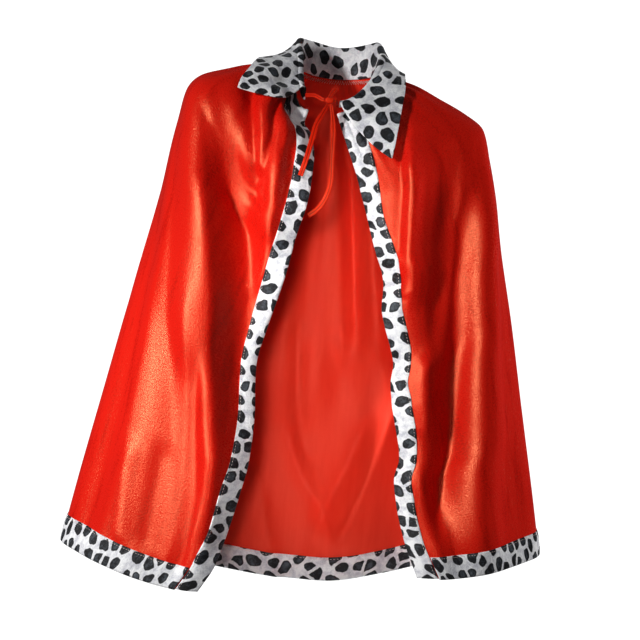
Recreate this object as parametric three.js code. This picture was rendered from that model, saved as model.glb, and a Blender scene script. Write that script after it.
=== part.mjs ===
// A king's costume cape, hanging open as it does on a pair of shoulders.
// Millimetres, +Z up, the front faces -Y. The origin is the middle of the neck opening.
//
// The cloth is one surface with two coordinates:
//   round: 0 at the left front edge, 1 on the left shoulder seam, 2 at centre back,
//          3 on the right shoulder seam, 4 at the right front edge (left and right as seen from the front)
//   down:  0 at the neck seam, 1 at the hem
// Horizontal sections give its size, and a table of folds moves it in and out.
import * as THREE from 'three';
import { RoundedBoxGeometry } from 'three/addons/geometries/RoundedBoxGeometry.js';

// Thickness of the cloths, and the clearance between neighbouring pieces
const velvet = 1.2;
const plush = 1.0;
const collarPlush = 1.6;
const seamGap = 0.3;

// Trims
const edgeTrimWide = 26;
const hemTrimShare = 0.045;
const edgeTrimStart = 0.004;

// Mesh density
const frontColumns = 18;
const backColumns = 36;
const trimColumns = 2;
const yokeRows = 7;
const skirtRows = 14;
const yokeEnd = 0.2;

// Sections of the body: half outlines left and right, depth to the front and to the back,
// how square the outline is, and the height of the cloth at five places round it.
const sections = [
  { down: 0.000, left: -46, right: 62, front: 50, back: 52, square: 2.0, zLeft: 20, zRight: 18, zEdgeLeft: -27, zEdgeRight: -36, zBack: 15 },
  { down: 0.060, left: -104, right: 112, front: 66, back: 66, square: 2.2, zLeft: 19, zRight: 8, zEdgeLeft: -68, zEdgeRight: -72, zBack: -18 },
  { down: 0.110, left: -142, right: 150, front: 76, back: 76, square: 2.4, zLeft: 10, zRight: -9, zEdgeLeft: -105, zEdgeRight: -105, zBack: -55 },
  { down: 0.155, left: -176, right: 186, front: 82, back: 82, square: 2.5, zLeft: -2, zRight: -27, zEdgeLeft: -137, zEdgeRight: -135, zBack: -92 },
  { down: 0.190, left: -192, right: 211, front: 86, back: 85, square: 2.5, zLeft: -20, zRight: -46, zEdgeLeft: -160, zEdgeRight: -158, zBack: -120 },
  { down: 0.240, left: -201, right: 222, front: 88, back: 87, square: 2.5, zLeft: -62, zRight: -88, zEdgeLeft: -193, zEdgeRight: -188, zBack: -160 },
  { down: 0.450, left: -232, right: 253, front: 98, back: 92, square: 2.5, zLeft: -222, zRight: -233, zEdgeLeft: -328, zEdgeRight: -314, zBack: -306 },
  { down: 1.000, left: -316, right: 331, front: 122, back: 108, square: 2.4, zLeft: -641, zRight: -611, zEdgeLeft: -681, zEdgeRight: -643, zBack: -689 },
];

// The two front edges: how far to the side the edge lies, and how far its trim rolls inwards, in degrees
const leftEdge = [
  { down: 0.000, x: -33, turn: 20 },
  { down: 0.025, x: -39, turn: 36 },
  { down: 0.060, x: -23, turn: 40 },
  { down: 0.110, x: -15, turn: 28 },
  { down: 0.160, x: -16, turn: 20 },
  { down: 0.210, x: -20, turn: 12 },
  { down: 0.270, x: -31, turn: 26 },
  { down: 0.335, x: -38, turn: 8 },
  { down: 0.400, x: -49, turn: 18 },
  { down: 0.455, x: -60, turn: 32 },
  { down: 0.540, x: -72, turn: 43 },
  { down: 0.650, x: -68, turn: 38 },
  { down: 0.730, x: -70, turn: 36 },
  { down: 0.800, x: -78, turn: 28 },
  { down: 0.880, x: -91, turn: 38 },
  { down: 0.945, x: -102, turn: 14 },
  { down: 1.000, x: -122, turn: 10 },
];
const rightEdge = [
  { down: 0.000, x: 14.5, turn: 20 },
  { down: 0.065, x: 29, turn: 20 },
  { down: 0.140, x: 48, turn: 26 },
  { down: 0.225, x: 66, turn: 43 },
  { down: 0.305, x: 81, turn: 28 },
  { down: 0.345, x: 92, turn: 43 },
  { down: 0.375, x: 95, turn: 43 },
  { down: 0.420, x: 93, turn: 22 },
  { down: 0.460, x: 98, turn: 12 },
  { down: 0.500, x: 107, turn: 20 },
  { down: 0.545, x: 116, turn: 43 },
  { down: 0.580, x: 114, turn: 43 },
  { down: 0.625, x: 116, turn: 28 },
  { down: 0.670, x: 122, turn: 26 },
  { down: 0.750, x: 133, turn: 43 },
  { down: 0.790, x: 128, turn: 43 },
  { down: 0.840, x: 132, turn: 36 },
  { down: 0.920, x: 146, turn: 34 },
  { down: 1.000, x: 166, turn: 20 },
];

// Folds: each runs from its top past its middle to its foot, and stands out (+) or in (-) by its depth.
const folds = [
  // left front
  { top: 0.12, roundTop: 0.84, mid: 0.40, roundMid: 0.48, foot: 1.10, roundFoot: 0.04, wide: 0.22, depth: 12 },
  { top: 0.12, roundTop: 0.66, mid: 0.27, roundMid: 0.33, foot: 0.62, roundFoot: 0.10, wide: 0.19, depth: -13 },
  { top: 0.02, roundTop: 0.58, mid: 0.09, roundMid: 0.46, foot: 0.24, roundFoot: 0.32, wide: 0.14, depth: 6 },
  { top: 0.02, roundTop: 0.36, mid: 0.20, roundMid: 0.20, foot: 0.46, roundFoot: 0.12, wide: 0.15, depth: 6 },
  { top: 0.50, roundTop: 0.56, mid: 0.74, roundMid: 0.36, foot: 1.12, roundFoot: 0.22, wide: 0.17, depth: -7 },
  { top: 0.26, roundTop: 0.92, mid: 0.55, roundMid: 0.84, foot: 1.10, roundFoot: 0.76, wide: 0.18, depth: -6 },
  // right front
  { top: 0.10, roundTop: 3.58, mid: 0.20, roundMid: 3.74, foot: 0.40, roundFoot: 3.86, wide: 0.14, depth: 9 },
  { top: 0.12, roundTop: 3.42, mid: 0.40, roundMid: 3.64, foot: 0.96, roundFoot: 3.80, wide: 0.17, depth: -12 },
  { top: 0.14, roundTop: 3.20, mid: 0.50, roundMid: 3.39, foot: 1.12, roundFoot: 3.64, wide: 0.18, depth: 12 },
  { top: 0.30, roundTop: 3.12, mid: 0.60, roundMid: 3.20, foot: 1.12, roundFoot: 3.34, wide: 0.16, depth: -7 },
  // back, where it shows between the fronts
  { top: 0.04, roundTop: 1.97, mid: 0.30, roundMid: 1.97, foot: 0.72, roundFoot: 2.00, wide: 0.15, depth: -9 },
  { top: 0.03, roundTop: 2.14, mid: 0.25, roundMid: 2.12, foot: 0.70, roundFoot: 2.14, wide: 0.14, depth: 10 },
  { top: 0.05, roundTop: 2.28, mid: 0.30, roundMid: 2.26, foot: 0.66, roundFoot: 2.30, wide: 0.14, depth: -8 },
  { top: 0.03, roundTop: 1.80, mid: 0.20, roundMid: 1.81, foot: 0.58, roundFoot: 1.84, wide: 0.14, depth: 9 },
  { top: 0.56, roundTop: 2.40, mid: 0.80, roundMid: 2.25, foot: 1.12, roundFoot: 2.08, wide: 0.18, depth: -9 },
  { top: 0.60, roundTop: 1.80, mid: 0.84, roundMid: 1.92, foot: 1.12, roundFoot: 2.04, wide: 0.16, depth: 6 },
  // back, out of the photo's sight
  { top: 0.04, roundTop: 1.62, mid: 0.45, roundMid: 1.58, foot: 1.12, roundFoot: 1.60, wide: 0.18, depth: -12 },
  { top: 0.06, roundTop: 1.43, mid: 0.50, roundMid: 1.40, foot: 1.12, roundFoot: 1.38, wide: 0.17, depth: 12 },
  { top: 0.14, roundTop: 1.22, mid: 0.55, roundMid: 1.20, foot: 1.12, roundFoot: 1.18, wide: 0.16, depth: -8 },
  { top: 0.04, roundTop: 2.44, mid: 0.40, roundMid: 2.46, foot: 1.12, roundFoot: 2.50, wide: 0.17, depth: 12 },
  { top: 0.06, roundTop: 2.62, mid: 0.50, roundMid: 2.66, foot: 1.12, roundFoot: 2.70, wide: 0.17, depth: -12 },
  { top: 0.16, roundTop: 2.80, mid: 0.55, roundMid: 2.84, foot: 1.12, roundFoot: 2.86, wide: 0.15, depth: 7 },
];

// A trimmed front edge is held nearly flat: folds fade out over this width
const foldFade = 60;
const foldAtEdge = 0.3;

// The collar: its stand rises from the neck seam, rolls over, and its fall lies on the shoulders.
// stand is the height of the roll line and lean moves that line outwards; edgeRound and edgeDown say
// over which place of the body the outer edge lies, and bow below 1 lets the fall sag lower.
const collarLine = [
  { round: 0.00, stand: 14, lean: 0, edgeRound: 0.64, edgeDown: 0.120, bow: 1.25 },
  { round: 0.35, stand: 15, lean: -3, edgeRound: 0.69, edgeDown: 0.102, bow: 1.1 },
  { round: 0.67, stand: 15, lean: -5, edgeRound: 0.74, edgeDown: 0.080, bow: 1 },
  { round: 1.00, stand: 21, lean: -4, edgeRound: 0.90, edgeDown: 0.056, bow: 1 },
  { round: 1.35, stand: 43, lean: 6, edgeRound: 1.30, edgeDown: 0.042, bow: 1 },
  { round: 1.60, stand: 44, lean: 5, edgeRound: 1.62, edgeDown: 0.045, bow: 1 },
  { round: 2.00, stand: 41, lean: 3, edgeRound: 2.00, edgeDown: 0.050, bow: 1 },
  { round: 2.65, stand: 46, lean: 5, edgeRound: 2.66, edgeDown: 0.042, bow: 1 },
  { round: 3.00, stand: 24, lean: 5, edgeRound: 3.06, edgeDown: 0.044, bow: 1 },
  { round: 3.40, stand: 8, lean: 5, edgeRound: 3.40, edgeDown: 0.070, bow: 1 },
  { round: 3.75, stand: 5, lean: 3, edgeRound: 3.60, edgeDown: 0.102, bow: 0.9 },
  { round: 4.00, stand: 4, lean: 0, edgeRound: 3.74, edgeDown: 0.135, bow: 0.8 },
];
const collarColumns = 44;
const standRows = 3;
const rollRows = 4;
const fallRows = 6;
const rollRadius = 3.5;
const fallLift = 10;
const collarSeat = 1.6;

// The ribbon tie
const ribbonWide = 7;
const ribbonNeck = 4;
const ribbonThick = 1.2;
const ribbonWidens = 0.2;
const strapWide = 5;
const strapRise = 6;
const knotCentre = new THREE.Vector3(1.5, -60, -29.5);
const knotSize = new THREE.Vector3(12, 6.4, 8.4);
const knotRound = 1.4;
const knotGap = 0.15;

const velvetRed = new THREE.MeshStandardMaterial({ color: 0xd41508, roughness: 0.5, metalness: 0, side: THREE.DoubleSide });
const spottedPlush = new THREE.MeshStandardMaterial({ color: 0xe9e7e4, roughness: 0.6, metalness: 0 });
const ribbonRed = new THREE.MeshStandardMaterial({ color: 0xf0361c, roughness: 0.4, metalness: 0 });

// A smooth curve through the rows of a table that never overshoots them
function alongTable(rows, key, column) {
  const x = rows.map((row) => row[key]);
  const y = rows.map((row) => row[column]);
  const step = x.slice(1).map((value, i) => value - x[i]);
  const slope = step.map((size, i) => (y[i + 1] - y[i]) / size);
  const tangent = x.map((_, i) => {
    if (i === 0) return slope[0];
    if (i === x.length - 1) return slope[i - 1];
    if (slope[i - 1] * slope[i] <= 0) return 0;
    const before = 2 * step[i] + step[i - 1];
    const after = step[i] + 2 * step[i - 1];
    return (before + after) / (before / slope[i - 1] + after / slope[i]);
  });
  return (at) => {
    let i = 0;
    while (i < x.length - 2 && at > x[i + 1]) i += 1;
    const t = (at - x[i]) / step[i];
    return y[i] * (1 + 2 * t) * (1 - t) ** 2
      + tangent[i] * step[i] * t * (1 - t) ** 2
      + y[i + 1] * t * t * (3 - 2 * t)
      + tangent[i + 1] * step[i] * t * t * (t - 1);
  };
}

function tableCurves(rows, key) {
  const columns = Object.keys(rows[0]).filter((column) => column !== key);
  return Object.fromEntries(columns.map((column) => [column, alongTable(rows, key, column)]));
}

const sectionCurve = tableCurves(sections, 'down');
const leftEdgeCurve = tableCurves(leftEdge, 'down');
const rightEdgeCurve = tableCurves(rightEdge, 'down');
const collarCurve = tableCurves(collarLine, 'round');

const signedPower = (value, power) => Math.sign(value) * Math.abs(value) ** power;

// An arc of a section's outline, with a way to reach any share of its length
function outlineArc(outline, from, to) {
  const pieces = 160;
  const angles = [];
  const lengths = [0];
  for (let i = 0; i <= pieces; i += 1) {
    angles.push(from + (to - from) * i / pieces);
    if (i > 0) {
      const a = outline(angles[i - 1]);
      const b = outline(angles[i]);
      lengths.push(lengths[i - 1] + Math.hypot(b[0] - a[0], b[1] - a[1]));
    }
  }
  const length = lengths[pieces];
  const at = (share) => {
    const wanted = share * length;
    let i = 1;
    while (i < pieces && lengths[i] < wanted) i += 1;
    const t = (wanted - lengths[i - 1]) / (lengths[i] - lengths[i - 1]);
    return outline(angles[i - 1] + (angles[i] - angles[i - 1]) * t);
  };
  return { length, at };
}

const sectionsMade = new Map();

// One section: its three arcs (left front, back, right front) and its heights
function sectionAt(down) {
  if (sectionsMade.has(down)) return sectionsMade.get(down);
  const size = Object.fromEntries(Object.entries(sectionCurve).map(([name, curve]) => [name, curve(down)]));
  const middle = (size.left + size.right) / 2;
  const half = (size.right - size.left) / 2;
  const power = 2 / size.square;
  const outline = (angle) => {
    const depth = Math.cos(angle) > 0 ? -size.front : size.back;
    return [
      middle + half * signedPower(Math.sin(angle), power),
      depth * Math.abs(Math.cos(angle)) ** power,
    ];
  };
  const edgeAngle = (x) => Math.asin(signedPower((x - middle) / half, 1 / power));
  const made = {
    size,
    leftArc: outlineArc(outline, edgeAngle(leftEdgeCurve.x(down)), -Math.PI / 2),
    backArc: outlineArc(outline, -Math.PI / 2, -3 * Math.PI / 2),
    rightArc: outlineArc(outline, Math.PI / 2, edgeAngle(rightEdgeCurve.x(down))),
  };
  sectionsMade.set(down, made);
  return made;
}

// The cloth before its folds
function smoothPoint(round, down) {
  const { size, leftArc, backArc, rightArc } = sectionAt(down);
  let flat;
  let z;
  if (round <= 1) {
    flat = leftArc.at(round);
    z = size.zLeft + (size.zEdgeLeft - size.zLeft) * Math.cos(Math.PI / 2 * round) ** 2;
  } else if (round < 3) {
    const share = (round - 1) / 2;
    const side = share < 0.5 ? size.zLeft : size.zRight;
    flat = backArc.at(share);
    z = side + (size.zBack - side) * Math.sin(Math.PI * share) ** 2;
  } else {
    flat = rightArc.at(round - 3);
    z = size.zRight + (size.zEdgeRight - size.zRight) * Math.sin(Math.PI / 2 * (round - 3)) ** 2;
  }
  return new THREE.Vector3(flat[0], flat[1], z);
}

function normalOf(surface, round, down) {
  const small = 0.012;
  const roundLow = Math.max(0, round - small);
  const roundHigh = Math.min(4, round + small);
  const downLow = Math.max(0, down - small);
  const downHigh = Math.min(1, down + small);
  const across = surface(roundHigh, down).sub(surface(roundLow, down));
  const along = surface(round, downHigh).sub(surface(round, downLow));
  return across.cross(along).normalize();
}

// How far along a fold lies at a height, from its three places
function foldPlace(fold, down) {
  const t = (down - fold.top) / (fold.foot - fold.top);
  const middle = (fold.mid - fold.top) / (fold.foot - fold.top);
  return fold.roundTop * (t - middle) * (t - 1) / middle
    + fold.roundMid * t * (t - 1) / (middle * (middle - 1))
    + fold.roundFoot * t * (t - middle) / (1 - middle);
}

function foldDepth(fold, round, down) {
  if (down <= fold.top || down >= fold.foot) return 0;
  const away = (round - foldPlace(fold, down)) / fold.wide;
  if (Math.abs(away) >= 1) return 0;
  const t = (down - fold.top) / (fold.foot - fold.top);
  const fade = Math.min(1, t / 0.22, (1 - t) / 0.22);
  return fold.depth * (1 - away * away) ** 2 * fade * fade * (3 - 2 * fade);
}

// Share of the folds that is left near the front edges
function foldHold(round, down) {
  const { leftArc, rightArc } = sectionAt(down);
  let from = foldFade;
  if (round < 1) from = round * leftArc.length;
  if (round > 3) from = (4 - round) * rightArc.length;
  const t = Math.min(1, from / foldFade);
  return foldAtEdge + (1 - foldAtEdge) * t * t * (3 - 2 * t);
}

// The front edges roll inwards by the angle that their tables give
function edgeRoll(curve, arc, share, down) {
  const turn = THREE.MathUtils.degToRad(curve.turn(down));
  const seen = edgeTrimWide * Math.cos(turn);
  const span = 2.2 * seen;
  const from = share * arc.length;
  if (from >= span) return 0;
  return -Math.tan(turn) * seen / 0.7 * (1 - from / span) ** 2;
}

// Share of a front panel's section that its edge trim takes
function trimShare(side, down) {
  const { leftArc, rightArc } = sectionAt(down);
  const curve = side === 'left' ? leftEdgeCurve : rightEdgeCurve;
  const arc = side === 'left' ? leftArc : rightArc;
  return edgeTrimWide * Math.cos(THREE.MathUtils.degToRad(curve.turn(down))) / arc.length;
}

function clothPoint(round, down) {
  const { leftArc, rightArc } = sectionAt(down);
  let out = 0;
  for (const fold of folds) out += foldDepth(fold, round, down) * foldHold(round, down);
  if (round < 1) out += edgeRoll(leftEdgeCurve, leftArc, round, down);
  if (round > 3) out += edgeRoll(rightEdgeCurve, rightArc, 4 - round, down);
  return smoothPoint(round, down).addScaledVector(normalOf(smoothPoint, round, down), out);
}

// A place on the cloth with its outward direction
function clothPlace(round, down) {
  return { point: clothPoint(round, down), normal: normalOf(clothPoint, round, down) };
}

const moved = (place, out) => place.point.clone().addScaledVector(place.normal, out);

// Joins loops of points, one after another, into a closed solid. The first half of each loop runs
// along one face and the second half runs back along the other. runsBack tells which steps of
// a loop run backwards, so that facing cells are cut along the same diagonal.
function solidFromLoops(loops, runsBack) {
  const count = loops[0].length;
  const positions = loops.flat().flatMap((point) => point.toArray());
  const index = [];
  for (let i = 0; i < loops.length - 1; i += 1) {
    for (let j = 0; j < count; j += 1) {
      const next = (j + 1) % count;
      const a = i * count + j;
      const b = i * count + next;
      const c = (i + 1) * count + next;
      const d = (i + 1) * count + j;
      index.push(...(runsBack(j) ? [a, b, d, b, c, d] : [a, b, c, a, c, d]));
    }
  }
  const half = count / 2;
  for (const [row, flip] of [[0, false], [loops.length - 1, true]]) {
    for (let j = 0; j < half - 1; j += 1) {
      const a = row * count + j;
      const b = row * count + j + 1;
      const c = row * count + count - 2 - j;
      const d = row * count + count - 1 - j;
      index.push(...(flip ? [a, b, c, a, c, d] : [a, c, b, a, d, c]));
    }
  }
  const geometry = new THREE.BufferGeometry();
  geometry.setAttribute('position', new THREE.Float32BufferAttribute(positions, 3));
  geometry.setIndex(index);
  geometry.computeVertexNormals();
  return geometry;
}

// A wall of cloth: each row of places becomes a loop, out along its outer face and back along its inner one
function clothWall(rows, thick) {
  return solidFromLoops(rows.map((row) => [
    ...row.map((place) => moved(place, thick / 2)),
    ...[...row].reverse().map((place) => moved(place, -thick / 2)),
  ]), (step) => step >= rows[0].length);
}

// A strip folded round an edge: out over the cloth, round its rim, and back under it.
// Each row of places starts at the strip's inner line and ends at the cloth's edge.
function foldedStrip(rows, alongEdge) {
  const inside = velvet / 2 + seamGap;
  const outside = inside + plush;
  const turnStep = rows[0].length + 1;
  const half = 2 * rows[0].length + 1;
  return solidFromLoops(rows.map((row) => {
    const edge = row[row.length - 1];
    const towards = edge.point.clone().sub(row[row.length - 2].point).normalize();
    const rim = (out, past) => moved(edge, out).addScaledVector(towards, past);
    const over = row.slice(0, -1);
    const back = [...over].reverse();
    return [
      ...over.map((place) => moved(place, outside)),
      rim(outside, inside), rim(0, outside + 0.4), rim(-outside, inside),
      ...back.map((place) => moved(place, -outside)),
      ...over.map((place) => moved(place, -inside)),
      rim(-inside, seamGap), rim(0, inside), rim(inside, seamGap),
      ...back.map((place) => moved(place, inside)),
    ];
  }), (step) => (step % half >= turnStep) !== alongEdge);
}

const evenly = (from, to, count) => Array.from({ length: count + 1 }, (_, i) => from + (to - from) * i / count);

// Heights of the rows of the mesh: close on the shoulders, and with lines on the hem trim
const downLines = [
  0,
  ...evenly(edgeTrimStart, yokeEnd, yokeRows),
  ...evenly(yokeEnd, 1 - hemTrimShare, skirtRows).slice(1),
  ...evenly(1 - hemTrimShare, 1, trimColumns).slice(1),
];

// Columns of a front panel from its edge to the shoulder seam, as shares of its section
function frontShares(side, down) {
  const trim = trimShare(side, down);
  const { leftArc, rightArc } = sectionAt(down);
  const seam = 1 - seamGap / 2 / (side === 'left' ? leftArc : rightArc).length;
  return [...evenly(0, trim, trimColumns), ...evenly(trim, seam, frontColumns).slice(1)];
}

function backRounds(down) {
  const gap = seamGap / sectionAt(down).backArc.length;
  return evenly(1 + gap, 3 - gap, backColumns);
}

const roundOf = (side, share) => (side === 'left' ? share : 4 - share);

// Places of a front panel, always listed the same way round so that its faces point out
function frontRow(side, down, shares) {
  const row = shares.map((share) => clothPlace(roundOf(side, share), down));
  return side === 'left' ? row : row.reverse();
}

const frontPanel = (side) => clothWall(downLines.map((down) => frontRow(side, down, frontShares(side, down))), velvet);

const backPanel = () => clothWall(
  downLines.map((down) => backRounds(down).map((round) => clothPlace(round, down))),
  velvet,
);

// The trim on a front edge covers the panel's first columns, from under the collar to the hem's tip
function edgeTrim(side) {
  const rows = downLines.slice(1).map((down) => {
    const shares = frontShares(side, down).slice(0, trimColumns + 1).reverse();
    return shares.map((share) => clothPlace(roundOf(side, share), down));
  });
  return foldedStrip(side === 'left' ? rows.reverse() : rows, false);
}

// The hem trim runs from one edge trim to the other, round the back
function hemTrim() {
  const lines = downLines.slice(-trimColumns - 1);
  const frontPart = (side) => {
    const shareAt = (down, i) => {
      const shares = frontShares(side, down).slice(trimColumns);
      return i === 0 ? shares[0] + 2 * seamGap / sectionAt(down).leftArc.length : shares[i];
    };
    return evenly(0, frontColumns - 1, frontColumns - 1)
      .map((i) => lines.map((down) => clothPlace(roundOf(side, shareAt(down, i)), down)));
  };
  const backPart = backRounds(1).map((_, i) => lines.map((down) => clothPlace(backRounds(down)[i], down)));
  const columns = [...frontPart('left'), ...backPart, ...frontPart('right').reverse()];
  return foldedStrip(columns.reverse(), true);
}

// The collar is one wall: up the stand, over the roll and down the fall
function collar() {
  const up = new THREE.Vector3(0, 0, 1);
  const centrelines = evenly(0, 4, collarColumns).map((round) => {
    const stand = collarCurve.stand(round);
    const lean = collarCurve.lean(round);
    const edgeRound = collarCurve.edgeRound(round);
    const edgeDown = collarCurve.edgeDown(round);
    const bow = collarCurve.bow(round);
    const ahead = smoothPoint(Math.min(4, round + 0.02), 0);
    const behind = smoothPoint(Math.max(0, round - 0.02), 0);
    const out = up.clone().cross(ahead.sub(behind)).normalize();
    const seat = smoothPoint(round, 0).addScaledVector(out, -collarSeat);
    const points = evenly(0, 1, standRows).map((share) => seat.clone()
      .addScaledVector(up, stand * share)
      .addScaledVector(out, lean * share * share));
    const rollCentre = points[standRows].clone().addScaledVector(out, rollRadius);
    for (const turn of evenly(0, Math.PI, rollRows).slice(1)) {
      points.push(rollCentre.clone()
        .addScaledVector(out, -rollRadius * Math.cos(turn))
        .addScaledVector(up, rollRadius * Math.sin(turn)));
    }
    for (const share of evenly(0, 1, fallRows).slice(1)) {
      const placeRound = round + (edgeRound - round) * share ** 0.9;
      const placeDown = edgeDown * share ** bow;
      const rise = (1 - share) ** 1.25;
      points.push(smoothPoint(placeRound, placeDown)
        .addScaledVector(normalOf(smoothPoint, placeRound, placeDown), fallLift * share ** 0.7)
        .addScaledVector(up, stand * rise)
        .addScaledVector(out, (2 * rollRadius + lean - collarSeat) * (1 - share)));
    }
    return points;
  });
  const rows = centrelines.map((points, i) => points.map((point, j) => {
    const before = centrelines[Math.max(0, i - 1)][j];
    const after = centrelines[Math.min(collarColumns, i + 1)][j];
    const lower = points[Math.max(0, j - 1)];
    const higher = points[Math.min(points.length - 1, j + 1)];
    const normal = after.clone().sub(before).cross(higher.clone().sub(lower)).normalize();
    return { point, normal };
  }));
  return clothWall(rows.reverse(), collarPlush);
}

// A ribbon along a curve: its flat face looks to the front, and it widens from its start
function ribbon(points, startWide, endWide, steps) {
  const path = new THREE.CatmullRomCurve3(points, false, 'centripetal');
  const front = new THREE.Vector3(0, -1, 0);
  const rows = evenly(0, 1, steps).map((share) => {
    const along = path.getTangentAt(share);
    const across = along.clone().cross(front).normalize();
    const face = across.clone().cross(along).normalize();
    const point = path.getPointAt(share);
    const wide = startWide + (endWide - startWide) * Math.min(1, share / ribbonWidens);
    return evenly(-0.5, 0.5, 2).map((side) => ({
      point: point.clone().addScaledVector(across, side * wide),
      normal: face,
    }));
  });
  return clothWall(rows, ribbonThick);
}

// A point given from the middle of the knot
const fromKnot = (x, y, z) => new THREE.Vector3(x, y, z).add(knotCentre);

// A strap comes out of the end of the collar, at a front corner of the neck
function strap(round, between, rise) {
  const corner = smoothPoint(round, 0);
  const beside = smoothPoint(round === 0 ? 0.02 : 3.98, 0);
  const away = corner.clone().sub(beside).setZ(0).normalize();
  const inwards = new THREE.Vector3(0, 0, 1).cross(away).multiplyScalar(round === 0 ? 1 : -1);
  const start = corner.addScaledVector(inwards, collarSeat).addScaledVector(away, seamGap);
  start.z += rise;
  const side = round === 0 ? -1 : 1;
  const end = side * (knotSize.x / 2 + knotGap);
  return ribbon([
    start,
    start.clone().addScaledVector(away, 1.5),
    ...between,
    fromKnot(end + side * 2.5, 0, 0.4),
    fromKnot(end, 0, 0.4),
  ], strapWide, strapWide, 8);
}

const knotFoot = -knotSize.z / 2 - knotGap;
const knotHead = knotSize.z / 2 + knotGap;

function knot() {
  const lump = new RoundedBoxGeometry(knotSize.x, knotSize.y, knotSize.z, 2, knotRound);
  lump.translate(knotCentre.x, knotCentre.y, knotCentre.z);
  return lump;
}

// The free ends and the small loop, as points from the middle of the knot
const leftTail = [
  fromKnot(-2.5, 0, knotFoot), fromKnot(-2.5, 0, knotFoot - 2), fromKnot(-7.5, -6, -18), fromKnot(-15.5, -17, -37),
  fromKnot(-19.5, -25, -58), fromKnot(-24.5, -31, -82), fromKnot(-30.5, -33, -105),
];
const rightTail = [
  fromKnot(2.5, 0, knotFoot), fromKnot(2.5, 0, knotFoot - 2), fromKnot(5.5, -1, -20), fromKnot(8, -4, -44), fromKnot(8.5, -5, -72),
  fromKnot(9.5, -6, -98), fromKnot(8.5, -8, -116), fromKnot(3, -10, -133), fromKnot(-6, -11, -146), fromKnot(-17, -12, -155),
];
const loop = [
  fromKnot(2.6, 0, knotHead), fromKnot(2.6, 0, knotHead + 1.5), fromKnot(5.8, 0, 11), fromKnot(9, 0, 16),
  fromKnot(7, 0, 18.4), fromKnot(3, 0, 13), fromKnot(-0.8, 0, knotHead + 1.5), fromKnot(-0.8, 0, knotHead),
];

const cape = new THREE.Group();

function addPiece(name, geometry, material) {
  const mesh = new THREE.Mesh(geometry, material);
  mesh.name = name;
  cape.add(mesh);
}

addPiece('back', backPanel(), velvetRed);
addPiece('front_left', frontPanel('left'), velvetRed);
addPiece('front_right', frontPanel('right'), velvetRed);
addPiece('edge_trim_left', edgeTrim('left'), spottedPlush);
addPiece('edge_trim_right', edgeTrim('right'), spottedPlush);
addPiece('hem_trim', hemTrim(), spottedPlush);
addPiece('collar', collar(), spottedPlush);
addPiece('tie_strap_left', strap(0, [fromKnot(-19, 8, 6)], strapRise), ribbonRed);
addPiece('tie_strap_right', strap(4, [], strapRise / 3), ribbonRed);
addPiece('tie_knot', knot(), ribbonRed);
addPiece('tie_loop', ribbon(loop, 2.6, 2.6, 14), ribbonRed);
addPiece('tie_tail_left', ribbon(leftTail, ribbonNeck, ribbonWide, 12), ribbonRed);
addPiece('tie_tail_right', ribbon(rightTail, ribbonNeck, ribbonWide, 16), ribbonRed);

export default cape;
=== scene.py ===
# A king's costume cape: velvet body, spotted plush collar and bands, satin ribbon tie.
# Tables and cloth formulas are in millimetres, as the cape was measured; meshes are in metres.
import math

import bmesh
import bpy
import numpy as np
from mathutils import Matrix, Vector


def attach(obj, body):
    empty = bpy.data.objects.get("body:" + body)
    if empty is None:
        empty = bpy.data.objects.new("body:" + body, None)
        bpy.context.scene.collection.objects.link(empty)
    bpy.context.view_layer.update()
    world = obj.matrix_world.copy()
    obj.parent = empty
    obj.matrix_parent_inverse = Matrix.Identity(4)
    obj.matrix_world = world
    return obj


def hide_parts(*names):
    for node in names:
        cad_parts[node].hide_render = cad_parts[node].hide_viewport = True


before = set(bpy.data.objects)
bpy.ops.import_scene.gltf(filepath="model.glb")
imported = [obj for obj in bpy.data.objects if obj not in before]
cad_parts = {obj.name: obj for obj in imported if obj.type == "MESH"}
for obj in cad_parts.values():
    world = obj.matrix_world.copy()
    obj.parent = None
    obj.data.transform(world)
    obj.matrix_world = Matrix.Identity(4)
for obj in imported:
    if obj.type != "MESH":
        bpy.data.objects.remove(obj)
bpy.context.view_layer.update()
mm = 0.001
print("frame loaded")


# The camera stands level in front of the cape, leaning as the photographer's did
cameraSetup = {"distance": 2.2, "aimX": 0.011, "aimZ": -0.32, "lens": 91.0, "lean": 4.4}

cameraData = bpy.data.cameras.new("camera")
cameraData.lens = cameraSetup["lens"]
cameraData.sensor_width = 36
camera = bpy.data.objects.new("camera", cameraData)
bpy.context.scene.collection.objects.link(camera)
camera.matrix_world = (
    Matrix.Translation((cameraSetup["aimX"], -cameraSetup["distance"], cameraSetup["aimZ"]))
    @ Matrix.Rotation(math.radians(90), 4, "X")
    @ Matrix.Rotation(math.radians(cameraSetup["lean"]), 4, "Z")
)
bpy.context.scene.camera = camera
print("camera placed")


# The body of the cape is one surface. "round" runs 0 at the left front edge, 1 on the left shoulder seam,
# 2 at centre back, 3 on the right seam and 4 at the right front edge. "down" runs 0 at the neck to 1 at the
# hem. Each section says how far the cloth reaches, how square its outline is, and how high it lies.
sectionColumns = (
    "down", "left", "right", "front", "back", "square",
    "zLeft", "zRight", "zEdgeLeft", "zEdgeRight", "zBack",
)
sections = [
    (0.000, -46, 62, 50, 52, 2.0, 20, 18, -27, -36, 15),
    (0.060, -104, 112, 66, 66, 2.2, 19, 8, -68, -72, -18),
    (0.110, -142, 150, 76, 76, 2.4, 10, -9, -105, -105, -55),
    (0.155, -176, 186, 82, 82, 2.5, -2, -27, -137, -135, -92),
    (0.190, -192, 211, 86, 85, 2.5, -20, -46, -160, -158, -120),
    (0.240, -201, 222, 88, 87, 2.5, -62, -88, -193, -188, -160),
    (0.450, -232, 253, 98, 92, 2.5, -222, -233, -328, -314, -306),
    (1.000, -316, 331, 122, 108, 2.4, -641, -611, -681, -643, -689),
]

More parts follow.
